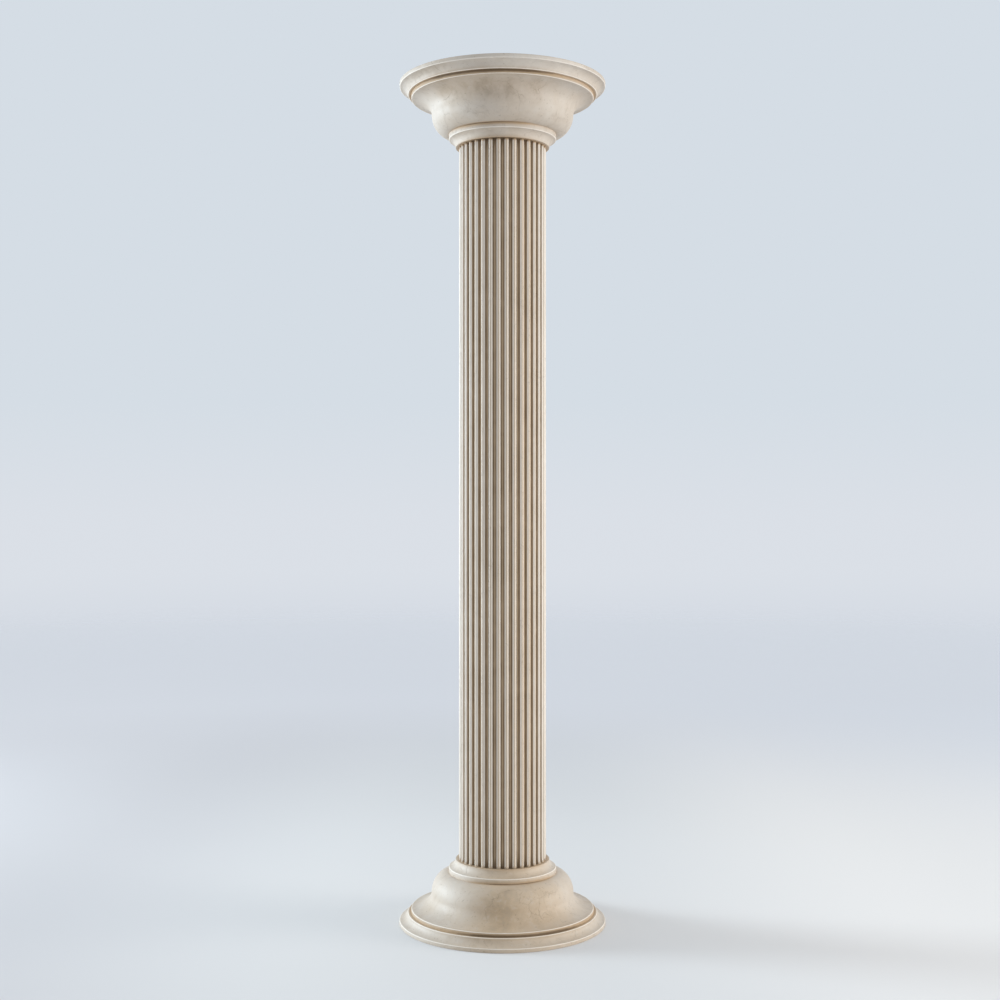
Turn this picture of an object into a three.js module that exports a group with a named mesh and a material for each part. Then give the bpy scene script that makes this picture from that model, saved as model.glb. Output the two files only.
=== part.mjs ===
// A round stone column: a moulded foot, a straight fluted shaft and the same moulding upside down as its head.
// Millimetres, +Z up. The origin is the middle of the underside.
import * as THREE from 'three';

// Driving dimensions of the whole column
const columnHeight = 2440;
const shaftRadius = 127;

// Flutes: channels with upright walls between ribs whose arrises are worn round
const fluteCount = 34;
const ribWidth = 12.5;
const fluteDepth = 8;
const ribArrisRadius = 3;
const channelCornerRadius = 1.5;

// Moulding, named from the outer end of the column towards the shaft
const slabRadius = 300;
const slabFilletHeight = 12;
const slabHollowWidth = 24;
const slabHollowHeight = 22;
const quirkWidth = 10;
const quirkHeight = 11;
const ogeeHollowWidth = 59;
const ogeeHollowHeight = 44;
const ogeeBellHeight = 59;
const collarRadius = 157;
const collarHeight = 15;
const neckHollowHeight = 22;
const neckLedge = 10;

// How finely the round forms are divided
const turnSegments = 72;
const hollowSegments = 3;
const ogeeSegments = 6;
const arrisSegments = 2;

// Radii and heights that follow from the sizes above, heights measured from the outer end
const hollowInnerRadius = slabRadius - slabHollowWidth;
const lipRadius = hollowInnerRadius - quirkWidth;
const waistRadius = lipRadius - ogeeHollowWidth;
const neckRadius = shaftRadius + neckLedge;
const hollowEnd = slabFilletHeight + slabHollowHeight;
const lipHeight = hollowEnd + quirkHeight;
const waistHeight = lipHeight + ogeeHollowHeight;
const collarStart = waistHeight + ogeeBellHeight;
const collarEnd = collarStart + collarHeight;
const mouldingHeight = collarEnd + neckHollowHeight;

const quarterTurn = Math.PI / 2;

function stone(colour, roughness) {
  return new THREE.MeshStandardMaterial({ color: colour, roughness, metalness: 0 });
}

// Quarter of an ellipse, its first point left out because the outline already ends there
function quarterArc(pointAt, segments) {
  const points = [];
  for (let step = 1; step <= segments; step += 1) {
    points.push(pointAt((quarterTurn * step) / segments));
  }
  return points;
}

// Half section of the moulding as pairs of radius and distance from the outer end
function mouldingOutline() {
  const slabHollow = quarterArc(
    (angle) => [
      slabRadius - slabHollowWidth * Math.sin(angle),
      hollowEnd - slabHollowHeight * Math.cos(angle),
    ],
    hollowSegments,
  );
  const ogeeHollow = quarterArc(
    (angle) => [
      lipRadius - ogeeHollowWidth * Math.sin(angle),
      waistHeight - ogeeHollowHeight * Math.cos(angle),
    ],
    ogeeSegments,
  );
  const ogeeBell = quarterArc(
    (angle) => [
      collarRadius + (waistRadius - collarRadius) * Math.cos(angle),
      waistHeight + ogeeBellHeight * Math.sin(angle),
    ],
    ogeeSegments,
  );
  const neckHollow = quarterArc(
    (angle) => [
      collarRadius - (collarRadius - neckRadius) * Math.sin(angle),
      mouldingHeight - neckHollowHeight * Math.cos(angle),
    ],
    hollowSegments,
  );
  return [
    [0, 0],
    [slabRadius, 0],
    [slabRadius, slabFilletHeight],
    ...slabHollow,
    [lipRadius, hollowEnd],
    [lipRadius, lipHeight],
    ...ogeeHollow,
    ...ogeeBell,
    [collarRadius, collarEnd],
    ...neckHollow,
    [0, mouldingHeight],
  ];
}

// Turns rising pairs of radius and height round the upright axis
function turned(outline) {
  const points = outline.map(([radius, height]) => new THREE.Vector2(radius, height));
  const geometry = new THREE.LatheGeometry(points, turnSegments);
  geometry.rotateX(quarterTurn);
  return geometry;
}

// One rib from its left wall over its crown to its right wall, as pairs of sideways offset and radius
function ribOutline() {
  const halfWidth = ribWidth / 2;
  const shoulder = halfWidth - ribArrisRadius;
  const arrisFoot = shaftRadius - ribArrisRadius;
  const right = [];
  for (let step = 0; step <= arrisSegments; step += 1) {
    const angle = (quarterTurn * step) / arrisSegments;
    right.push([shoulder + ribArrisRadius * Math.sin(angle), arrisFoot + ribArrisRadius * Math.cos(angle)]);
  }
  const left = right.map(([across, radius]) => [-across, radius]).reverse();
  return [...left, ...right];
}

// The channel floor beside a rib, with a small hollow corner at the foot of the wall
function channelCorner() {
  const halfWidth = ribWidth / 2;
  const floorRadius = shaftRadius - fluteDepth;
  return [
    [halfWidth, floorRadius + channelCornerRadius],
    [halfWidth + channelCornerRadius, floorRadius],
  ];
}

// Cross section of the shaft, with a channel in the middle of the front
function shaftSection() {
  const corner = channelCorner();
  const mirroredCorner = corner.map(([across, radius]) => [-across, radius]).reverse();
  const oneRib = [...mirroredCorner, ...ribOutline(), ...corner];
  const pitch = (2 * Math.PI) / fluteCount;
  const shape = new THREE.Shape();
  for (let rib = 0; rib < fluteCount; rib += 1) {
    const middle = (rib + 0.5) * pitch - quarterTurn;
    oneRib.forEach(([across, radius], index) => {
      const x = radius * Math.cos(middle) - across * Math.sin(middle);
      const y = radius * Math.sin(middle) + across * Math.cos(middle);
      if (rib === 0 && index === 0) {
        shape.moveTo(x, y);
      } else {
        shape.lineTo(x, y);
      }
    });
  }
  shape.closePath();
  return shape;
}

function makeBase() {
  const base = new THREE.Mesh(turned(mouldingOutline()), stone(0xc9bda9, 0.75));
  base.name = 'base';
  return base;
}

function makeShaft() {
  const length = columnHeight - 2 * mouldingHeight;
  const geometry = new THREE.ExtrudeGeometry(shaftSection(), { depth: length, bevelEnabled: false });
  const shaft = new THREE.Mesh(geometry, stone(0xcfc6b6, 0.75));
  shaft.name = 'shaft';
  shaft.position.z = mouldingHeight;
  return shaft;
}

function makeCapital() {
  const outline = mouldingOutline().map(([radius, height]) => [radius, columnHeight - height]).reverse();
  const capital = new THREE.Mesh(turned(outline), stone(0xd2c9bb, 0.75));
  capital.name = 'capital';
  return capital;
}

const column = new THREE.Group();
column.add(makeBase(), makeShaft(), makeCapital());

export default column;
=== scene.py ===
import math
from itertools import pairwise

import bmesh
import bpy
from bpy.props import FloatProperty, FloatVectorProperty, IntProperty, PointerProperty
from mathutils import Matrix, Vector


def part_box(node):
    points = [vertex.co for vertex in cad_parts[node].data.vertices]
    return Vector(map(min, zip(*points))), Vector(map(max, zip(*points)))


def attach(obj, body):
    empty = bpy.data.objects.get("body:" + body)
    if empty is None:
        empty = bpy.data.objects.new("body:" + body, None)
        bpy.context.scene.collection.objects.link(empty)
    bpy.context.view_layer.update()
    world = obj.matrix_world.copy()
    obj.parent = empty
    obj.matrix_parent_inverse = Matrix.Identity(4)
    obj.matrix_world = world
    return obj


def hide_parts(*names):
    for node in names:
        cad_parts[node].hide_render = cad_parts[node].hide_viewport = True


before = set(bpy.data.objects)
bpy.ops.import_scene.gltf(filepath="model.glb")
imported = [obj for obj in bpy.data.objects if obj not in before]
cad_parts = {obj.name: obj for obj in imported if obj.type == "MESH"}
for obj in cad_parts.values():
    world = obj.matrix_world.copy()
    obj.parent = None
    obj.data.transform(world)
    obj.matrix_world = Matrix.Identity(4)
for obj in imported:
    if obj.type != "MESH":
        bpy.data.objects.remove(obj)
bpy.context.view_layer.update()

bl_info = {
    "name": "Fluted Stone Column",
    "version": (1, 0, 0),
    "blender": (4, 5, 0),
    "location": "3D View > Sidebar > Column",
    "description": "Turns, flutes and weathers a round limestone column with moulded ends",
    "category": "Object",
}

# Places and sizes taken from the frame, in metres
FLOOR_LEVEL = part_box("base")[0].z
MOULDING_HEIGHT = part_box("base")[1].z - FLOOR_LEVEL
SLAB_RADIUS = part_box("base")[1].x
SHAFT_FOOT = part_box("shaft")[0].z
SHAFT_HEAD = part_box("shaft")[1].z
SHAFT_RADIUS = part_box("shaft")[1].x
COLUMN_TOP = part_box("capital")[1].z
COLUMN_MIDDLE = (FLOOR_LEVEL + COLUMN_TOP) / 2

# Fineness of the meshes
TURN_STEPS = 288
HOLLOW_STEPS = 10
OGEE_STEPS = 17
FILLET_STEPS = 3
ARRIS_STEPS = 4
CORNER_STEPS = 2
SHAFT_ROWS = 100
SHAFT_END_ROWS = 2
SHAFT_END_ROW_HEIGHT = 0.0035
MERGE_DISTANCE = 1e-5
RING_TOLERANCE = 1e-4
SEED_SIZE = 0.001
SMOOTH_ANGLE = math.radians(40)

# Sine and cosine of an eighth of a turn
DIAGONAL = math.sqrt(0.5)

# Corners of the moulding's half section that are rubbed pale
WORN_ARRISES = ("fillet_edge", "hollow_edge", "lip", "collar_edge", "neck_edge")

# How deep the surface is uneven, how coarse its dents are, and how high the finest relief stands
MOULDING_UNEVENNESS = 0.0008
SHAFT_UNEVENNESS = 0.0003
ARRIS_UNEVENNESS_SHARE = 1.6
ARRIS_DENT_SIZE = 0.030
FACE_DENT_SIZE = 0.110
DENT_DETAIL = 3
SOFT_BUMP = 0.004
FINE_BUMP = 0.0005

# Turns round the column from its front: where the painted front shade fades, and the middle of the
# painted light on the head's slab
FRONT_EDGES = (0.3, 1.15)
SLAB_LIGHT_MIDDLE = 0.35

# How far wear, grime and painted shade reach from the arrises, corners, hollows and ends
MOULDING_WEAR_REACH = 0.0024
RIB_WEAR_REACH = 0.0026
CORNER_GRIME_AND_SHADE_REACH = 0.010
SEAM_SHADE_REACH = 0.0055
HOLLOW_GRIME_AND_SHADE_REACH = 0.034
CHANNEL_CORNER_REACH = 0.0024
CHANNEL_END_REACH = 0.010
SHADOW_UNDER_HEAD_REACH = 0.005

# Widths over which the slab's painted light and front shade set in, and over which dents and wear fade
# at a piece's ends
SLAB_BLEND = 0.004
OUTER_HOLD = 0.004
INNER_HOLD = 0.003
SHAFT_HOLD = 0.020
RIB_WEAR_HOLD = 0.008

# Depths at which a channel turns grimy, and distances from a rib's middle at which its crown ends
SUNK_DEPTHS = (0.002, 0.0065)
CROWN_EDGES = (0.0010, 0.0035)

# Strengths of the grime and painted shade, the pairs at the back and at the front, where the painted
# shade is stronger
CORNER_GRIME_AND_SHADE = (0.55, 1)
SEAM_SHADE = (0.25, 0.95)
HOLLOW_GRIME_AND_SHADE = (0.14, 0.20)
CROWN_SHADE = (0.14, 0.20)
CHANNEL_GRIME = 0.60
CHANNEL_END_SHADE = 0.4
CHANNEL_CORNER_GRIME_AND_SHADE = 0.45
RIB_END_SHADE = 0.15

# Shares of the stone's markings, painted shade and painted light in its colour
BROWN_CLOUDS = 0.4
FRONT_SHADE_BROWN = 0.7
BROWN_STAIN_AND_SHADING = 0.5
MOTTLE = 0.6
MOTTLE_STAIN_AND_SHADING = 0.27
MOTTLE_UNBROKEN = 0.45
DARK_FRECKLES = 0.30
PALE_FRECKLES = 0.35
HAIRLINES = 0.24
HAIRLINES_IN_STAINS_AND_SHADING = 0.22
SPECKS = 0.36
DIRT_AND_SHADE_EVEN = 0.75
DIRT_AND_SHADE_PATCHY = 0.5
WEAR_AND_LIGHT = 0.85
WEAR_AND_LIGHT_FRECKLES = 0.4

# Roughness of the stone, with what its grain, patches and grime add
STONE_ROUGHNESS = 0.47
GRAIN_ROUGHNESS = 0.10
PATCH_ROUGHNESS = 0.08
GRIME_ROUGHNESS = 0.25

# Heights in the stone's relief
FRECKLE_RELIEF = 0.10
GRAIN_RELIEF = 0.30
PIT_RELIEF = 0.7
HAIR_RELIEF = 0.8

# Middle of a noise's values, and how far cracks are bent off their cells
NOISE_MIDDLE = 0.5
CRACK_SWAY = 0.09

# Sockets of the Mix node's colours, whose names other kinds of values share
MIX_SHARE = 0
MIX_FIRST = 6
MIX_SECOND = 7
MIX_RESULT = 2

# Camera, from the perspective of the photograph
PHOTO_SIZE = 1000
PHOTO_FOCAL = 1430
PHOTO_COLUMN_HEIGHT = 836
PHOTO_AXIS_COLUMN = 502.5
PHOTO_MIDDLE_ROW = 503.2
SENSOR_WIDTH = 36

# Floor: its size and finish, and the distances over which its painted shade and light change and its rim
# fades
FLOOR_RADIUS = 14
FLOOR_STEPS = 128
FLOOR_ROUGHNESS = 0.8
FLOOR_SHINE = 0.15
FLOOR_CLOUDS = 0.6
LEFT_SHADE_EDGES = (0.5, 1.5)
RIGHT_LIGHT_EDGES = (0.2, 1.3)
OUTER_LIGHT_EDGES = (1.7, 5.2)
FLOOR_FADE_EDGES = (0.45 * FLOOR_RADIUS, 0.97 * FLOOR_RADIUS)

# Lights
LAMP_SPREAD = math.radians(60)
LEFT_LIGHT = {"place": (-6.8, 2.0, 1.9), "size": (2.2, 3.0), "colour": (0.79, 0.91, 1.0)}
RIGHT_LIGHT = {"place": (5.8, -0.6, 1.8), "size": (4.2, 3.6), "colour": (1.0, 0.965, 0.91)}

# Levels of the sky's colours, from 0 straight down to 1 straight up
FAR_FLOOR_LEVELS = (0.425, 0.455)
HORIZON_LEVELS = (0.475, 0.495)
BACKDROP_LEVEL = 0.535


class ShaftSizes(bpy.types.PropertyGroup):
    """Sizes of the fluted shaft"""

    flute_count: IntProperty(
        name="Flutes", description="Channels round the shaft", default=34, min=8, max=80
    )
    rib_width: FloatProperty(
        name="Rib width", description="Width of the rib between two channels",
        default=0.0125, unit="LENGTH", subtype="DISTANCE",
    )
    flute_depth: FloatProperty(
        name="Flute depth", description="Depth of a channel below the crown of a rib",
        default=0.008, unit="LENGTH", subtype="DISTANCE",
    )
    arris_radius: FloatProperty(
        name="Rib arris", description="Rounding of a rib's worn edges",
        default=0.0055, unit="LENGTH", subtype="DISTANCE",
    )
    corner_radius: FloatProperty(
        name="Channel corner", description="Hollow rounding at the foot of a channel's wall",
        default=0.0015, unit="LENGTH", subtype="DISTANCE",
    )


class MouldingSizes(bpy.types.PropertyGroup):
    """Sizes of the moulding that is both foot and head, from its outer end towards the shaft"""

    fillet_height: FloatProperty(
        name="Slab fillet", description="Height of the upright edge of the round slab",
        default=0.012, unit="LENGTH", subtype="DISTANCE",
    )
    slab_hollow_width: FloatProperty(
        name="Slab hollow width", description="How far the hollow cuts in over the slab's edge",
        default=0.024, unit="LENGTH", subtype="DISTANCE",
    )
    slab_hollow_height: FloatProperty(
        name="Slab hollow height", description="Height of the hollow over the slab's edge",
        default=0.022, unit="LENGTH", subtype="DISTANCE",
    )
    quirk_width: FloatProperty(
        name="Quirk width", description="Width of the dark step inside the slab",
        default=0.010, unit="LENGTH", subtype="DISTANCE",
    )
    quirk_height: FloatProperty(
        name="Quirk height", description="Height of the dark step inside the slab",
        default=0.011, unit="LENGTH", subtype="DISTANCE",
    )
    ogee_hollow_width: FloatProperty(
        name="Ogee hollow width", description="Reach of the hollow half of the ogee",
        default=0.059, unit="LENGTH", subtype="DISTANCE",
    )
    ogee_hollow_height: FloatProperty(
        name="Ogee hollow height", description="Height of the hollow half of the ogee",
        default=0.044, unit="LENGTH", subtype="DISTANCE",
    )
    ogee_bell_height: FloatProperty(
        name="Ogee bell height", description="Height of the swelling half of the ogee",
        default=0.059, unit="LENGTH", subtype="DISTANCE",
    )
    collar_radius: FloatProperty(
        name="Collar radius", description="Radius of the collar next to the bell",
        default=0.157, unit="LENGTH", subtype="DISTANCE",
    )
    collar_height: FloatProperty(
        name="Collar height", description="Height of the upright edge of the collar",
        default=0.015, unit="LENGTH", subtype="DISTANCE",
    )
    ledge: FloatProperty(
        name="Ledge", description="Width of the flat ledge round the end of the shaft",
        default=0.010, unit="LENGTH", subtype="DISTANCE",
    )
    arris_radius: FloatProperty(
        name="Arris wear", description="Rounding of the moulding's worn edges",
        default=0.0018, unit="LENGTH", subtype="DISTANCE",
    )


class StoneFinish(bpy.types.PropertyGroup):
    """Colours of the stone, of what has settled on it, and of its painted light and shade"""

    cream: FloatVectorProperty(
        name="Cream", description="Main colour of the stone",
        default=(0.548, 0.470, 0.386), size=3, min=0, max=1, subtype="COLOR",
    )
    pale: FloatVectorProperty(
        name="Pale", description="Paler clouds in the stone",
        default=(0.600, 0.538, 0.468), size=3, min=0, max=1, subtype="COLOR",
    )
    mottle: FloatVectorProperty(
        name="Mottle", description="Grey brown patches",
        default=(0.360, 0.288, 0.212), size=3, min=0, max=1, subtype="COLOR",
    )
    # Brown is also the colour of the painted shade down the front
    brown: FloatVectorProperty(
        name="Brown", description="Warm brown tone of stained stone",
        default=(0.530, 0.372, 0.218), size=3, min=0, max=1, subtype="COLOR",
    )
    vein: FloatVectorProperty(
        name="Vein", description="Hairlines and veins",
        default=(0.190, 0.135, 0.082), size=3, min=0, max=1, subtype="COLOR",
    )
    # Also the colour of painted shade along seams, in hollows, on rib crowns and at the shaft's ends
    grime: FloatVectorProperty(
        name="Grime", description="Brown film in the channels and hollows",
        default=(0.475, 0.338, 0.210), size=3, min=0, max=1, subtype="COLOR",
    )
    # Also the colour of the darkest painted shade, in corners, at the shaft's ends and under the head
    deep_grime_and_shade: FloatVectorProperty(
        name="Deep grime", description="Dark dirt in the tightest corners",
        default=(0.190, 0.125, 0.068), size=3, min=0, max=1, subtype="COLOR",
    )
    # Also the colour of the painted light on the front of the head's slab
    worn: FloatVectorProperty(
        name="Worn", description="Rubbed edges",
        default=(0.860, 0.785, 0.690), size=3, min=0, max=1, subtype="COLOR",
    )


class StudioLook(bpy.types.PropertyGroup):
    """Colours and strengths of the studio"""

    floor: FloatVectorProperty(
        name="Floor", description="Colour of the floor round the column",
        default=(0.752, 0.739, 0.726), size=3, min=0, max=1, subtype="COLOR",
    )
    # Painted shade on the floor at the left of the column
    left_floor_shade: FloatVectorProperty(
        name="Left floor", description="Colour of the floor left of the column",
        default=(0.665, 0.648, 0.650), size=3, min=0, max=1, subtype="COLOR",
    )
    # Painted pool of light on the floor at the right of the column
    right_floor_light: FloatVectorProperty(
        name="Right floor", description="Colour of the floor right of the column",
        default=(0.888, 0.847, 0.810), size=3, min=0, max=1, subtype="COLOR",
    )
    # Painted light: paler paint where the lamps no longer reach the floor
    outer_floor_light: FloatVectorProperty(
        name="Outer floor", description="Colour of the floor where the lights no longer reach it",
        default=(0.960, 0.945, 0.955), size=3, min=0, max=1, subtype="COLOR",
    )
    far_floor: FloatVectorProperty(
        name="Far floor", description="Colour that the floor fades into",
        default=(0.656, 0.699, 0.764), size=3, min=0, max=1, subtype="COLOR",
    )
    horizon: FloatVectorProperty(
        name="Horizon", description="Colour of the backdrop along the horizon",
        default=(0.705, 0.742, 0.797), size=3, min=0, max=1, subtype="COLOR",
    )
    backdrop: FloatVectorProperty(
        name="Backdrop", description="Colour of the backdrop above the horizon",
        default=(0.665, 0.723, 0.784), size=3, min=0, max=1, subtype="COLOR",
    )
    key_power: FloatProperty(
        name="Left light", description="Power of the large light at the left",
        default=79, min=0, subtype="POWER",
    )
    fill_power: FloatProperty(
        name="Right light", description="Power of the large light at the right",
        default=45, min=0, subtype="POWER",
    )
    sky_strength: FloatProperty(
        name="Sky", description="Strength of the even light from all round",
        default=1, min=0, subtype="FACTOR",
    )


class Wire:
    """An output of a node, with Python arithmetic that adds Math nodes"""

    def __init__(self, shader, socket):
        self.shader = shader
        self.socket = socket

    def math(self, operation, *values):
        return self.shader.node(
            "ShaderNodeMath", {"operation": operation}, dict(enumerate(values))
        )

    def __add__(self, other):
        return self.math("ADD", self, other)

    __radd__ = __add__

    def __sub__(self, other):
        return self.math("SUBTRACT", self, other)

    def __rsub__(self, other):
        return self.math("SUBTRACT", other, self)

    def __mul__(self, other):
        return self.math("MULTIPLY", self, other)

    def __abs__(self):
        return self.math("ABSOLUTE", self)

    def clamped(self):
        return self.shader.node(
            "ShaderNodeClamp", {}, {"Value": self, "Min": 0, "Max": 1}
        )


class Shader:
    """The nodes of a material or of the sky, added by calls"""

    def __init__(self, owner):
        owner.use_nodes = True
        self.owner = owner
        self.tree = owner.node_tree

    def existing(self, name):
        """A node that Blender made with the tree"""
        return self.tree.nodes[name]

    def node(self, kind, settings, inputs, output=0):
        """Adds a node, sets it up, then fills or links its sockets"""
        made = self.tree.nodes.new(kind)
        for name, value in settings.items():
            if name == "stops":
                set_stops(made.color_ramp, value)
            else:
                setattr(made, name, value)
        for name, value in inputs.items():
            self.feed(made.inputs[name], value)
        return Wire(self, made.outputs[output])

    def feed(self, socket, value):
        if isinstance(value, Wire):
            self.tree.links.new(value.socket, socket)
        else:
            socket.default_value = value

    def place(self):
        return self.node("ShaderNodeTexCoord", {}, {}, "Object")

    def moved(self, place, shift):
        return self.node("ShaderNodeMapping", {}, {"Vector": place, "Location": shift})

    def noise(self, place, scale, detail=2, roughness=0.5, distortion=0):
        return self.node(
            "ShaderNodeTexNoise",
            {"noise_dimensions": "3D"},
            {
                "Vector": place, "Scale": scale, "Detail": detail,
                "Roughness": roughness, "Distortion": distortion,
            },
        )

    def ramp(self, value, low, high):
        """0 below low and 1 above high, eased in between"""
        return self.node(
            "ShaderNodeMapRange",
            {"interpolation_type": "SMOOTHSTEP"},
            {"Value": value, "From Min": low, "From Max": high},
        )

    def attribute(self, name):
        return self.node(
            "ShaderNodeAttribute", {"attribute_name": name, "attribute_type": "GEOMETRY"}, {}, "Fac"
        )

    def blend(self, share, first, second):
        """Mixes two colours"""
        return self.node(
            "ShaderNodeMix",
            {"data_type": "RGBA"},
            {MIX_SHARE: share, MIX_FIRST: opaque(first), MIX_SECOND: opaque(second)},
            MIX_RESULT,
        )

    def bump(self, height, distance, below=None):
        inputs = {"Height": height, "Distance": distance, "Strength": 1}
        if below is not None:
            inputs["Normal"] = below
        return self.node("ShaderNodeBump", {}, inputs)


def opaque(colour):
    """A plain colour with its alpha, or a wire as it is"""
    return colour if isinstance(colour, Wire) else (*colour, 1)


def set_stops(ramp, stops):
    """Gives a colour ramp its positions and colours"""
    while len(ramp.elements) < len(stops):
        ramp.elements.new(1)
    for element, (position, colour) in zip(ramp.elements, stops):
        element.position = position
        element.color = opaque(colour)


def stone_material(name, finish, looks):
    """Cream limestone: clouded, veined and speckled, with grime where the mesh says so"""
    stone = Shader(bpy.data.materials.new(name))
    surface = stone.existing("Principled BSDF").inputs
    place = stone.moved(stone.place(), looks["shift"])
    # Stains, with spots of painted shade and painted light on the head
    stain_and_shading = stains_and_shading(stone, looks["stains_and_shading"])

    clouds = stone.noise(place, scale=4.5, detail=5, roughness=0.6, distortion=0.4)
    patches = stone.noise(
        stone.moved(place, shift=(3, 1, 7)), scale=11, detail=6, roughness=0.62, distortion=0.8
    )
    freckles = stone.noise(
        stone.moved(place, shift=(2, 6, 4)), scale=46, detail=5, roughness=0.65, distortion=0.3
    )
    crumbs = stone.noise(place, scale=95, detail=4, roughness=0.7)
    grain = stone.noise(place, scale=300, detail=3, roughness=0.6)
    dots = stone.noise(stone.moved(place, shift=(5, 5, 2)), scale=150, detail=2, roughness=0.5)

    # The stone itself: cream with paler clouds, brown where stained and as painted shade down the front,
    # and grey brown mottling
    colour = stone.blend(stone.ramp(clouds, low=0.35, high=0.65), finish.cream, finish.pale)
    browned = stone.ramp(patches + clouds, low=0.75, high=1.25) * BROWN_CLOUDS
    # Painted shade: the side facing the front is browned, where the side lights reach less
    browned = browned + stone.attribute("film") * FRONT_SHADE_BROWN + stain_and_shading * BROWN_STAIN_AND_SHADING
    colour = stone.blend((browned * looks["brownness"]).clamped(), colour, finish.brown)
    broken = stone.ramp(freckles, low=0.38, high=0.66) * (1 - MOTTLE_UNBROKEN) + MOTTLE_UNBROKEN
    mottle = stone.ramp(patches + stain_and_shading * MOTTLE_STAIN_AND_SHADING, low=0.54, high=0.86) * broken
    colour = stone.blend((mottle * MOTTLE).clamped(), colour, finish.mottle)
    dark = stone.ramp(freckles, low=0.50, high=0.80)
    colour = stone.blend(dark * DARK_FRECKLES, colour, finish.mottle)
    light = stone.ramp(1 - freckles, low=0.52, high=0.75)
    colour = stone.blend(light * PALE_FRECKLES, colour, finish.pale)

    # Hairlines and dark specks
    hair = hairlines(stone, place)
    veined = (hair * (HAIRLINES + stain_and_shading * HAIRLINES_IN_STAINS_AND_SHADING)).clamped()
    colour = stone.blend(veined, colour, finish.vein)
    colour = stone.blend(stone.ramp(dots, low=0.63, high=0.76) * SPECKS, colour, finish.vein)

    # Brown dirt in the channels; dirt and painted shade in the corners; painted shade along the seam, in
    # the hollows, on the rib crowns, at the shaft's ends and under the head
    dirt_and_shade = (stone.attribute("grime") * (DIRT_AND_SHADE_EVEN + patches * DIRT_AND_SHADE_PATCHY)).clamped()
    colour = stone.blend(stone.ramp(dirt_and_shade, low=0.04, high=0.62), colour, finish.grime)
    colour = stone.blend(stone.ramp(dirt_and_shade, low=0.62, high=1), colour, finish.deep_grime_and_shade)

    # Rubbed arrises, and the painted light on the front of the head's slab
    lightened = stone.ramp(stone.attribute("wear") + freckles * WEAR_AND_LIGHT_FRECKLES, low=0.50, high=1)
    colour = stone.blend(lightened * WEAR_AND_LIGHT, colour, finish.worn)
    stone.feed(surface["Base Color"], colour)

    roughness = STONE_ROUGHNESS + grain * GRAIN_ROUGHNESS + patches * PATCH_ROUGHNESS
    roughness = (roughness + dirt_and_shade * GRIME_ROUGHNESS).clamped()
    stone.feed(surface["Roughness"], roughness)

    pits = stone.ramp(crumbs, low=0.62, high=0.80)
    soft = stone.bump(clouds + freckles * FRECKLE_RELIEF, SOFT_BUMP)
    relief = grain * GRAIN_RELIEF - pits * PIT_RELIEF - hair * HAIR_RELIEF
    stone.feed(surface["Normal"], stone.bump(relief, FINE_BUMP, soft))
    return stone.owner


def stains_and_shading(stone, stain_places):
    """Adds up round stains and spots of painted shade, each a place, a reach and a strength; below zero
    it pales the stone instead, as painted light
    """
    total = 0
    for centre, reach, strength in stain_places:
        distance = stone.node(
            "ShaderNodeVectorMath", {"operation": "DISTANCE"},
            {0: stone.place(), 1: centre}, "Value",
        )
        total = total + (1 - stone.ramp(distance, low=0, high=reach)) * strength
    return total


def hairlines(stone, place):
    """Thin wandering lines, from the levels of a soft noise and the borders of bent cells"""
    wander = stone.noise(place, scale=7, detail=4, roughness=0.55, distortion=1.2)
    level = 1 - stone.ramp(abs(wander - NOISE_MIDDLE), low=0.001, high=0.0045)
    sway = stone.node("ShaderNodeTexNoise", {}, {"Vector": place, "Scale": 13, "Detail": 4}, "Color")
    bent = stone.node(
        "ShaderNodeVectorMath", {"operation": "MULTIPLY_ADD"},
        {0: sway, 1: (CRACK_SWAY,) * 3, 2: place}, "Vector",
    )
    cells = stone.node(
        "ShaderNodeTexVoronoi", {"feature": "DISTANCE_TO_EDGE"}, {"Vector": bent, "Scale": 9}, "Distance"
    )
    crack = 1 - stone.ramp(cells, low=0.001, high=0.009)
    here = stone.ramp(stone.noise(stone.moved(place, shift=(9, 2, 4)), scale=9), low=0.45, high=0.60)
    there = stone.ramp(stone.noise(stone.moved(place, shift=(1, 8, 6)), scale=9), low=0.50, high=0.62)
    return (level * here + crack * there).clamped()


def floor_material(look):
    """Pale matt paint with painted shade on the left, a painted pool of light on the right and painted
    light paling it outwards, fading out towards the rim
    """
    paint = Shader(bpy.data.materials.new("studio_floor_paint"))
    surface = paint.existing("Principled BSDF").inputs
    distance = paint.node("ShaderNodeVectorMath", {"operation": "LENGTH"}, {0: paint.place()}, "Value")
    cloud = paint.noise(paint.place(), scale=0.35)
    sideways = paint.node("ShaderNodeSeparateXYZ", {}, {"Vector": paint.place()}, "X")
    # Painted shade on the left of the floor and a painted pool of light on the right
    near = paint.blend(paint.ramp(0 - sideways, *LEFT_SHADE_EDGES), look.floor, look.left_floor_shade)
    near = paint.blend(paint.ramp(sideways, *RIGHT_LIGHT_EDGES), near, look.right_floor_light)
    # Painted light: paler outwards, where the lamps no longer reach
    outwards = paint.ramp(distance + cloud * FLOOR_CLOUDS, *OUTER_LIGHT_EDGES)
    paint.feed(surface["Base Color"], paint.blend(outwards, near, look.outer_floor_light))
    paint.feed(surface["Roughness"], FLOOR_ROUGHNESS)
    paint.feed(surface["Specular IOR Level"], FLOOR_SHINE)
    paint.feed(surface["Alpha"], 1 - paint.ramp(distance, *FLOOR_FADE_EDGES))
    return paint.owner


def deselect_everything():
    """Leaves nothing selected, so that the next operator acts on what is made next"""
    bpy.ops.object.select_all(action="DESELECT")


def quarter_arc(steps):
    """Sine and cosine along a quarter turn, without its start"""
    angles = [math.pi / 2 * step / steps for step in range(1, steps + 1)]
    return [(math.sin(angle), math.cos(angle)) for angle in angles]


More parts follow.
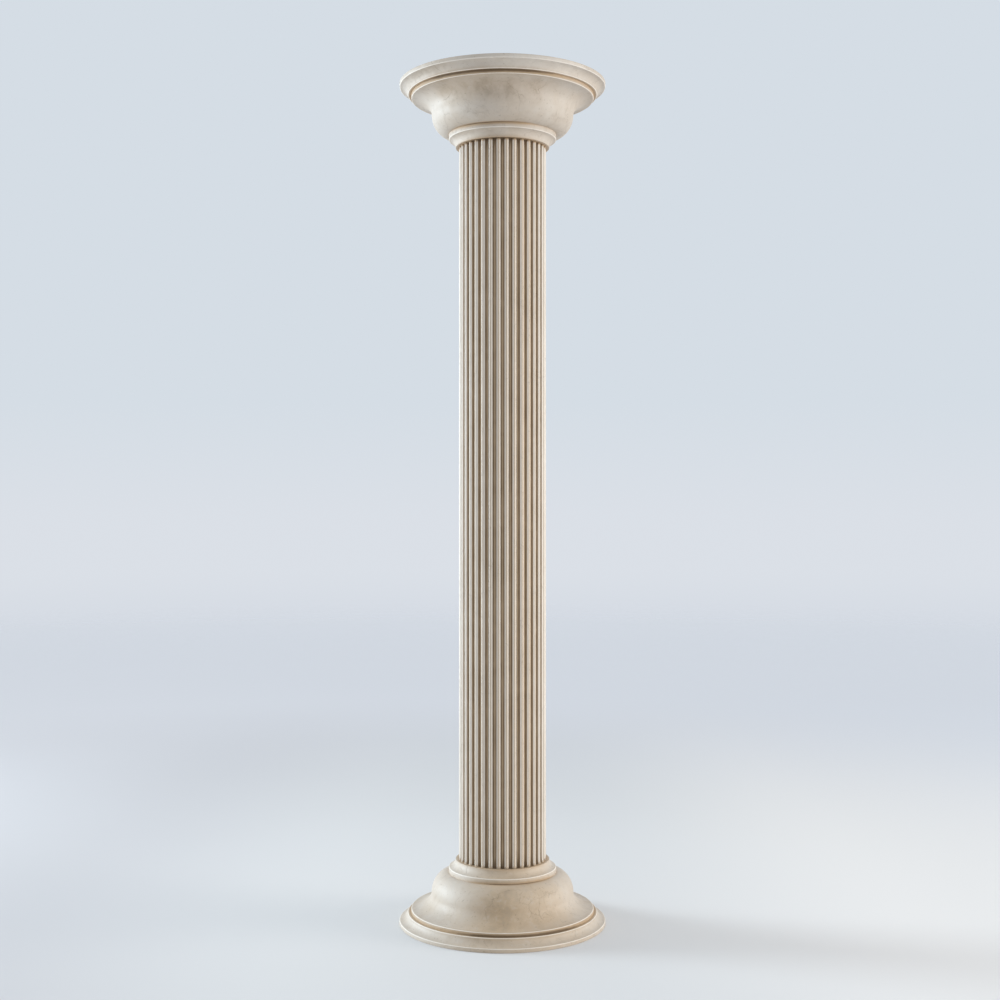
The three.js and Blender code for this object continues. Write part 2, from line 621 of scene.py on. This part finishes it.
def divided(start, end, steps):
    """Points along a straight stretch, without its start"""
    return [
        tuple(a + (b - a) * step / steps for a, b in zip(start, end))
        for step in range(1, steps + 1)
    ]


def moulding_marks(sizes):
    """Corners of the moulding's half section, as radius and distance from the outer end"""
    hollow_inner = SLAB_RADIUS - sizes.slab_hollow_width
    lip = hollow_inner - sizes.quirk_width
    hollow_end = sizes.fillet_height + sizes.slab_hollow_height
    lip_height = hollow_end + sizes.quirk_height
    waist_height = lip_height + sizes.ogee_hollow_height
    collar_start = waist_height + sizes.ogee_bell_height
    return {
        "outer_edge": (SLAB_RADIUS, 0),
        "fillet_edge": (SLAB_RADIUS, sizes.fillet_height),
        "hollow_edge": (hollow_inner, hollow_end),
        "quirk_corner": (lip, hollow_end),
        "lip": (lip, lip_height),
        "waist": (lip - sizes.ogee_hollow_width, waist_height),
        "collar_corner": (sizes.collar_radius, collar_start),
        "collar_edge": (sizes.collar_radius, collar_start + sizes.collar_height),
        "neck_edge": (SHAFT_RADIUS + sizes.ledge, MOULDING_HEIGHT),
        "shaft_corner": (SHAFT_RADIUS, MOULDING_HEIGHT),
    }


def hollow_between(start, end, steps):
    """Concave quarter that leaves start level and reaches end upright"""
    return [
        (start[0] + (end[0] - start[0]) * sine, end[1] + (start[1] - end[1]) * cosine)
        for sine, cosine in quarter_arc(steps)
    ]


def swelling_between(start, end, steps):
    """Convex quarter that leaves start upright and reaches end level"""
    return [
        (end[0] + (start[0] - end[0]) * cosine, start[1] + (end[1] - start[1]) * sine)
        for sine, cosine in quarter_arc(steps)
    ]


def moulding_outline(marks):
    """Half section of the moulding from the outer edge to the shaft, finely divided"""
    return [
        marks["outer_edge"],
        *divided(marks["outer_edge"], marks["fillet_edge"], FILLET_STEPS),
        *hollow_between(marks["fillet_edge"], marks["hollow_edge"], HOLLOW_STEPS),
        *divided(marks["hollow_edge"], marks["quirk_corner"], FILLET_STEPS),
        *divided(marks["quirk_corner"], marks["lip"], FILLET_STEPS),
        *hollow_between(marks["lip"], marks["waist"], OGEE_STEPS),
        *swelling_between(marks["waist"], marks["collar_corner"], OGEE_STEPS),
        *divided(marks["collar_corner"], marks["collar_edge"], FILLET_STEPS),
        *hollow_between(marks["collar_edge"], marks["neck_edge"], HOLLOW_STEPS),
        marks["shaft_corner"],
    ]


def select_rings(mesh, rings):
    """Selects the level edges that lie on the given rings of radius and height"""
    for edge in mesh.edges:
        ends = [(vertex.co.xy.length, vertex.co.z) for vertex in edge.verts]
        edge.select_set(
            any(all(math.dist(end, ring) < RING_TOLERANCE for end in ends) for ring in rings)
        )
    mesh.select_flush_mode()


def turn_moulding(name, marks, outer_level, rise):
    """Draws a disc out ring by ring along the half section and rounds its arrises"""
    outline = moulding_outline(marks)
    deselect_everything()
    bpy.ops.mesh.primitive_circle_add(
        vertices=TURN_STEPS, radius=outline[0][0], fill_type="NGON", location=(0, 0, outer_level)
    )
    piece = bpy.context.object
    piece.name = name
    bpy.ops.object.transform_apply(location=True, rotation=True, scale=True)
    bpy.ops.object.mode_set(mode="EDIT")
    bpy.ops.mesh.select_mode(type="FACE")
    bpy.ops.mesh.select_all(action="SELECT")
    for (radius, distance), (next_radius, next_distance) in pairwise(outline):
        bpy.ops.mesh.extrude_region_move(
            TRANSFORM_OT_translate={"value": (0, 0, rise * (next_distance - distance))}
        )
        scale = next_radius / radius
        bpy.ops.transform.resize(value=(scale, scale, 1), center_override=(0, 0, 0))
    bpy.ops.mesh.select_mode(type="EDGE")
    arrises = [marks[edge] for edge in ("outer_edge", *WORN_ARRISES)]
    mesh = bmesh.from_edit_mesh(piece.data)
    select_rings(mesh, [(radius, outer_level + rise * distance) for radius, distance in arrises])
    bmesh.update_edit_mesh(piece.data)
    sizes = bpy.context.scene.column_moulding
    bpy.ops.mesh.bevel(offset=sizes.arris_radius, segments=ARRIS_STEPS, affect="EDGES")
    bpy.ops.mesh.select_all(action="SELECT")
    bpy.ops.mesh.normals_make_consistent(inside=False)
    bpy.ops.object.mode_set(mode="OBJECT")
    return piece


def nearness(point, targets, reach):
    """1 at the nearest target, falling away over the reach"""
    nearest = min(math.dist(point, target) for target in targets)
    return math.exp(-((nearest / reach) ** 2))


def eased(value, low, high):
    """0 below low, 1 above high, smooth in between"""
    share = min(max((value - low) / (high - low), 0), 1)
    return share * share * (3 - 2 * share)


def front_share(vertex, middle):
    """1 down the front, fading towards the sides, 0 at the back; middle is turned to the right"""
    turn = math.atan2(vertex.co.x, -vertex.co.y) - middle
    return 1 - eased(abs(turn), *FRONT_EDGES)


def strength(ends, front):
    """Between a strength at the back and one at the front"""
    back, ahead = ends
    return back + (ahead - back) * front


def write_attribute(piece, name, values):
    """Stores one number for each vertex, for the material to read"""
    attribute = piece.data.attributes.new(name, "FLOAT", "POINT")
    attribute.data.foreach_set("value", values)


def weigh_vertices(piece, name, values):
    """Stores one weight for each vertex, for a modifier to read"""
    group = piece.vertex_groups.new(name=name)
    for index, value in enumerate(values):
        group.add([index], value, "REPLACE")


def roughen(piece, name, depth, grain_size, group):
    """Sinks the surface unevenly, never outwards, where the group's weight allows it"""
    texture = bpy.data.textures.new(name, "CLOUDS")
    texture.noise_scale = grain_size
    texture.noise_depth = DENT_DETAIL
    modifier = piece.modifiers.new(name, "DISPLACE")
    modifier.texture = texture
    modifier.texture_coords = "LOCAL"
    modifier.strength = depth
    modifier.mid_level = 1
    modifier.vertex_group = group
    bpy.ops.object.modifier_apply(modifier=name)


def finish_piece(piece, node, layers, material, unevenness):
    """Weathers the mesh, stores what the material reads, and puts the piece in its node's place"""
    weigh_vertices(piece, "worn", layers["wear"])
    weigh_vertices(piece, "free", layers["free"])
    roughen(piece, node + "_worn_arrises", unevenness * ARRIS_UNEVENNESS_SHARE, ARRIS_DENT_SIZE, "worn")
    roughen(piece, node + "_uneven_faces", unevenness, FACE_DENT_SIZE, "free")
    for name in ("wear", "grime", "film"):
        write_attribute(piece, name, layers[name])
    bpy.ops.object.shade_smooth_by_angle(angle=SMOOTH_ANGLE)
    piece.data.materials.clear()
    piece.data.materials.append(material)
    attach(piece, "root")
    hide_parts(node)


def weather_moulding(piece, marks, outer_level, rise, looks):
    """Lists each vertex of the foot or the head: its wear and painted light, its grime and painted
    shade, its painted front shade, and how free it is to sink
    """
    arrises = [marks[edge] for edge in WORN_ARRISES]
    corners = [marks["quirk_corner"], marks["shaft_corner"]]
    seams = [marks["collar_corner"]]
    hollows = [hollow_heart(marks)]
    lip_radius = marks["lip"][0]
    layers = {"wear": [], "grime": [], "film": [], "free": []}
    for vertex in piece.data.vertices:
        point = (vertex.co.xy.length, (vertex.co.z - outer_level) * rise)
        front = front_share(vertex, looks["front_shade_middle"])
        slab = eased(point[0], lip_radius - SLAB_BLEND, lip_radius + SLAB_BLEND)
        # Painted light: the front of the head's slab is paled, where light bounced up from the floor
        # falls
        lightened = looks["slab_light"] * front_share(vertex, SLAB_LIGHT_MIDDLE) * slab
        free = eased(point[1], 0, OUTER_HOLD) * eased(MOULDING_HEIGHT - point[1], 0, INNER_HOLD)
        # Dirt and painted shade in the tight corners, darker at the front as painted shade
        tight = strength(CORNER_GRIME_AND_SHADE, front) * nearness(point, corners, CORNER_GRIME_AND_SHADE_REACH)
        # Painted shade along the seam where the bell meets the collar, darker at the front
        seam = strength(SEAM_SHADE, front) * nearness(point, seams, SEAM_SHADE_REACH)
        # Brown dirt and painted shade in the hollow of the ogee, darker at the front
        broad = strength(HOLLOW_GRIME_AND_SHADE, front) * nearness(point, hollows, HOLLOW_GRIME_AND_SHADE_REACH)
        layers["wear"].append(free * max(lightened, nearness(point, arrises, MOULDING_WEAR_REACH)))
        layers["grime"].append(min(1, max(tight, seam) + broad))
        # Painted shade: browner down the front, on the foot's slab too
        layers["film"].append(front * (1 - slab + looks["slab_front_shade"] * slab))
        layers["free"].append(free)
    return layers


def make_moulding(context, name, node, outer_level, rise, looks):
    """Makes the foot or the head"""
    marks = moulding_marks(context.scene.column_moulding)
    piece = turn_moulding(name, marks, outer_level, rise)
    layers = weather_moulding(piece, marks, outer_level, rise, looks)
    material = stone_material(node + "_stone", context.scene.column_stone, looks)
    finish_piece(piece, node, layers, material, MOULDING_UNEVENNESS)


def hollow_heart(marks):
    """Middle of the hollow half of the ogee"""
    lip, waist = marks["lip"], marks["waist"]
    return (lip[0] + (waist[0] - lip[0]) * DIAGONAL, waist[1] + (lip[1] - waist[1]) * DIAGONAL)


def flute_outline(sizes):
    """One rib and the halves of its two channels, as sideways offset and radius"""
    half_width = sizes.rib_width / 2
    floor = SHAFT_RADIUS - sizes.flute_depth
    arris, corner = sizes.arris_radius, sizes.corner_radius
    right = [(0, SHAFT_RADIUS), (half_width - arris, SHAFT_RADIUS)]
    right += [
        (half_width - arris + arris * sine, SHAFT_RADIUS - arris + arris * cosine)
        for sine, cosine in quarter_arc(ARRIS_STEPS)
    ]
    right.append((half_width, floor + corner))
    right += [
        (half_width + corner - corner * cosine, floor + corner - corner * sine)
        for sine, cosine in quarter_arc(CORNER_STEPS)
    ]
    half_pitch = math.pi / sizes.flute_count
    right.append((floor * math.sin(half_pitch), floor * math.cos(half_pitch)))
    left = [(-across, height) for across, height in right[:0:-1]]
    return left + right


def cut_shaft(sizes):
    """Draws one rib, spins it round the shaft, fills the section and draws it up"""
    outline = flute_outline(sizes)
    half_pitch = math.pi / sizes.flute_count
    middle = half_pitch - math.pi / 2
    points = [
        Vector((
            height * math.cos(middle) - across * math.sin(middle),
            height * math.sin(middle) + across * math.cos(middle),
            SHAFT_FOOT,
        ))
        for across, height in outline
    ]
    deselect_everything()
    bpy.ops.mesh.primitive_plane_add(size=SEED_SIZE, location=points[0])
    piece = bpy.context.object
    piece.name = "column_shaft"
    bpy.ops.object.transform_apply(location=True, rotation=True, scale=True)
    bpy.ops.object.mode_set(mode="EDIT")
    bpy.ops.mesh.select_mode(type="VERT")
    bpy.ops.mesh.select_all(action="SELECT")
    bpy.ops.mesh.merge(type="CENTER")
    for start, end in pairwise(points):
        bpy.ops.mesh.extrude_region_move(TRANSFORM_OT_translate={"value": end - start})
    bpy.ops.mesh.select_all(action="SELECT")
    bpy.ops.mesh.spin(
        steps=sizes.flute_count, dupli=True, angle=2 * math.pi, center=(0, 0, SHAFT_FOOT), axis=(0, 0, 1)
    )
    bpy.ops.mesh.select_all(action="SELECT")
    bpy.ops.mesh.remove_doubles(threshold=MERGE_DISTANCE)
    bpy.ops.mesh.edge_face_add()
    # Short rows at both ends, where the painted shadow at the ends changes quickly
    end_rows = [SHAFT_END_ROW_HEIGHT] * SHAFT_END_ROWS
    long_row = SHAFT_HEAD - SHAFT_FOOT - 2 * sum(end_rows)
    for rise in (*end_rows, long_row, *end_rows):
        bpy.ops.mesh.extrude_region_move(TRANSFORM_OT_translate={"value": (0, 0, rise)})
    bpy.ops.mesh.select_mode(type="EDGE")
    mesh = bmesh.from_edit_mesh(piece.data)
    for edge in mesh.edges:
        edge.select_set(abs(edge.verts[0].co.z - edge.verts[1].co.z) > sum(end_rows))
    bmesh.update_edit_mesh(piece.data)
    bpy.ops.mesh.subdivide(number_cuts=SHAFT_ROWS)
    bpy.ops.mesh.select_all(action="SELECT")
    bpy.ops.mesh.normals_make_consistent(inside=False)
    bpy.ops.object.mode_set(mode="OBJECT")
    return piece


def weather_shaft(piece, sizes, looks):
    """Lists each vertex of the shaft: its wear, its grime and painted shade, its painted front shade,
    and how free it is to sink
    """
    pitch = 2 * math.pi / sizes.flute_count
    half_width = sizes.rib_width / 2
    arris_inset = sizes.arris_radius * (1 - DIAGONAL)
    arrises = [(half_width - arris_inset, SHAFT_RADIUS - arris_inset)]
    corners = [(half_width, SHAFT_RADIUS - sizes.flute_depth)]
    layers = {"wear": [], "grime": [], "film": [], "free": []}
    for vertex in piece.data.vertices:
        turn = (math.atan2(vertex.co.y, vertex.co.x) + math.pi / 2) % pitch - pitch / 2
        reach = vertex.co.xy.length
        point = (abs(reach * math.sin(turn)), reach * math.cos(turn))
        end_distance = min(vertex.co.z - SHAFT_FOOT, SHAFT_HEAD - vertex.co.z)
        front = front_share(vertex, looks["front_shade_middle"])
        sunk = eased(SHAFT_RADIUS - point[1], *SUNK_DEPTHS)
        # Painted shadow at both ends of the shaft, in the channels and on the ribs
        ends = math.exp(-end_distance / CHANNEL_END_REACH)
        channel = sunk * (CHANNEL_GRIME + CHANNEL_END_SHADE * ends)
        # Dirt and painted shade in the corners at the foot of each channel's walls
        corner = CHANNEL_CORNER_GRIME_AND_SHADE * nearness(point, corners, CHANNEL_CORNER_REACH)
        # Painted shade on the middle of each rib's crown, darker at the front
        crown = strength(CROWN_SHADE, front) * (1 - eased(point[0], *CROWN_EDGES)) * (1 - sunk)
        dirt_and_shade = channel + corner + RIB_END_SHADE * ends + crown
        # Painted shadow in a band just under the head
        shadow_under_head = nearness((vertex.co.z,), [(SHAFT_HEAD,)], SHADOW_UNDER_HEAD_REACH)
        worn = nearness(point, arrises, RIB_WEAR_REACH)
        layers["wear"].append(eased(end_distance, 0, RIB_WEAR_HOLD) * worn)
        layers["grime"].append(min(1, max(dirt_and_shade, shadow_under_head)))
        # Painted shade: browner down the front
        layers["film"].append(front)
        layers["free"].append(eased(end_distance, 0, SHAFT_HOLD))
    return layers


class COLUMN_OT_shaft(bpy.types.Operator):
    """Cut the straight fluted shaft"""

    bl_idname = "column.make_shaft"
    bl_label = "Fluted Shaft"

    def execute(self, context):
        # The middle of the painted shade down the front is turned a little to the right
        looks = {"shift": (0.3, 0.7, 0.1), "stains_and_shading": [], "brownness": 0.52, "front_shade_middle": 0.12}
        sizes = context.scene.column_shaft
        piece = cut_shaft(sizes)
        layers = weather_shaft(piece, sizes, looks)
        material = stone_material("shaft_stone", context.scene.column_stone, looks)
        finish_piece(piece, "shaft", layers, material, SHAFT_UNEVENNESS)
        return {"FINISHED"}


class COLUMN_OT_base(bpy.types.Operator):
    """Turn the moulded foot"""

    bl_idname = "column.make_base"
    bl_label = "Moulded Foot"

    def execute(self, context):
        looks = {
            "shift": (0.9, 0.2, 0.5),
            "stains_and_shading": [((-0.008, -0.213, 0.083), 0.105, 1.2), ((0.090, -0.190, 0.080), 0.09, 0.3)],
            "brownness": 0.60,
            # Where the painted shade down the front is centred, and how much of it the slab takes
            "front_shade_middle": 0.24,
            "slab_front_shade": 0.75,
            "slab_light": 0,
        }
        make_moulding(context, "column_base", "base", FLOOR_LEVEL, 1, looks)
        return {"FINISHED"}


class COLUMN_OT_capital(bpy.types.Operator):
    """Turn the moulded head, which is the foot upside down"""

    bl_idname = "column.make_capital"
    bl_label = "Moulded Head"

    def execute(self, context):
        looks = {
            "shift": (0.1, 0.6, 0.8),
            "stains_and_shading": [
                ((-0.262, -0.130, COLUMN_TOP - 0.030), 0.12, 1),
                ((-0.200, -0.210, COLUMN_TOP - 0.020), 0.12, 1),
                # A row of stain and painted shade under the lip, across the front
                ((-0.150, -0.148, COLUMN_TOP - 0.066), 0.06, 1),
                ((-0.095, -0.190, COLUMN_TOP - 0.068), 0.06, 1.2),
                ((-0.050, -0.207, COLUMN_TOP - 0.070), 0.06, 1),
                ((0.020, -0.210, COLUMN_TOP - 0.078), 0.065, 1),
                ((0.090, -0.195, COLUMN_TOP - 0.078), 0.06, 0.7),
                # Painted light: a paler spot low on the hollow, left of the front
                ((-0.085, -0.172, COLUMN_TOP - 0.112), 0.095, -1),
            ],
            "brownness": 0.27,
            # Where the painted shade down the front is centred, left of the middle; the slab takes none
            # of it
            "front_shade_middle": -0.25,
            "slab_front_shade": 0,
            # Painted light on the front of the slab
            "slab_light": 0.45,
        }
        make_moulding(context, "column_capital", "capital", COLUMN_TOP, -1, looks)
        return {"FINISHED"}


class COLUMN_OT_stage(bpy.types.Operator):
    """Set up the studio: a floor, two soft lights, the sky and the camera"""

    bl_idname = "column.make_stage"
    bl_label = "Studio"

    def execute(self, context):
        look = context.scene.column_studio
        make_floor(look)
        make_lights(look)
        make_sky(context.scene, look)
        make_camera(context.scene)
        return {"FINISHED"}


def make_floor(look):
    """A round floor whose rim fades into the sky"""
    deselect_everything()
    bpy.ops.mesh.primitive_circle_add(
        vertices=FLOOR_STEPS, radius=FLOOR_RADIUS, fill_type="NGON", location=(0, 0, FLOOR_LEVEL)
    )
    floor = bpy.context.object
    floor.name = "studio_floor"
    bpy.ops.object.transform_apply(location=True, rotation=True, scale=True)
    floor.data.materials.append(floor_material(look))


def make_light(name, power, place, size, colour):
    """A soft rectangular light aimed at the middle of the column"""
    bpy.ops.object.light_add(type="AREA", location=place)
    lamp = bpy.context.object
    lamp.name = name
    aim = Vector((0, 0, COLUMN_MIDDLE)) - Vector(place)
    lamp.rotation_euler = aim.to_track_quat("-Z", "Y").to_euler()
    lamp.data.shape = "RECTANGLE"
    lamp.data.size, lamp.data.size_y = size
    lamp.data.spread = LAMP_SPREAD
    lamp.data.energy = power
    lamp.data.color = colour
    lamp.visible_camera = False


def make_lights(look):
    """A strong light from the left and a little behind, a softer one from the right"""
    make_light("left_light", look.key_power, **LEFT_LIGHT)
    make_light("right_light", look.fill_power, **RIGHT_LIGHT)


def make_sky(scene, look):
    """Pale light from all round, a little brighter along the horizon"""
    sky = Shader(bpy.data.worlds.new("studio_sky"))
    scene.world = sky.owner
    direction = sky.node("ShaderNodeTexCoord", {}, {}, "Generated")
    rise = sky.node("ShaderNodeSeparateXYZ", {}, {"Vector": direction}, "Z")
    stops = [(level, look.far_floor) for level in FAR_FLOOR_LEVELS]
    stops += [(level, look.horizon) for level in HORIZON_LEVELS]
    stops.append((BACKDROP_LEVEL, look.backdrop))
    height = rise * 0.5 + 0.5
    colour = sky.node("ShaderNodeValToRGB", {"stops": stops}, {"Fac": height}, "Color")
    background = sky.existing("Background").inputs
    sky.feed(background["Color"], colour)
    sky.feed(background["Strength"], look.sky_strength)


def make_camera(scene):
    """The photograph's level view of the whole column, from half its height"""
    metres_per_pixel = (COLUMN_TOP - FLOOR_LEVEL) / PHOTO_COLUMN_HEIGHT
    distance = PHOTO_FOCAL * metres_per_pixel
    bpy.ops.object.camera_add(location=(0, -distance, COLUMN_MIDDLE), rotation=(math.pi / 2, 0, 0))
    camera = bpy.context.object
    camera.name = "front_camera"
    camera.data.sensor_width = SENSOR_WIDTH
    camera.data.lens = SENSOR_WIDTH * PHOTO_FOCAL / PHOTO_SIZE
    camera.data.shift_x = (PHOTO_SIZE / 2 - PHOTO_AXIS_COLUMN) / PHOTO_SIZE
    camera.data.shift_y = (PHOTO_MIDDLE_ROW - PHOTO_SIZE / 2) / PHOTO_SIZE
    scene.camera = camera


class COLUMN_PT_panel(bpy.types.Panel):
    """Lists the pieces of the column and their sizes"""

    bl_label = "Column"
    bl_space_type = "VIEW_3D"
    bl_region_type = "UI"
    bl_category = "Column"

    def draw(self, context):
        for operator in OPERATORS:
            self.layout.operator(operator.bl_idname)
        for name, group in SETTINGS.items():
            box = self.layout.box()
            for field in group.__annotations__:
                box.prop(getattr(context.scene, name), field)


OPERATORS = (COLUMN_OT_stage, COLUMN_OT_base, COLUMN_OT_shaft, COLUMN_OT_capital)
SETTINGS = {
    "column_shaft": ShaftSizes,
    "column_moulding": MouldingSizes,
    "column_stone": StoneFinish,
    "column_studio": StudioLook,
}


def register():
    for group in (*SETTINGS.values(), *OPERATORS, COLUMN_PT_panel):
        bpy.utils.register_class(group)
    for name, group in SETTINGS.items():
        setattr(bpy.types.Scene, name, PointerProperty(type=group))


def unregister():
    for name in SETTINGS:
        delattr(bpy.types.Scene, name)
    for group in (COLUMN_PT_panel, *OPERATORS, *SETTINGS.values()):
        bpy.utils.unregister_class(group)


def main():
    register()
    bpy.context.scene.view_settings.view_transform = "Standard"
    bpy.ops.column.make_stage()
    bpy.ops.column.make_base()
    bpy.ops.column.make_shaft()
    bpy.ops.column.make_capital()


if __name__ == "__main__":
    main()
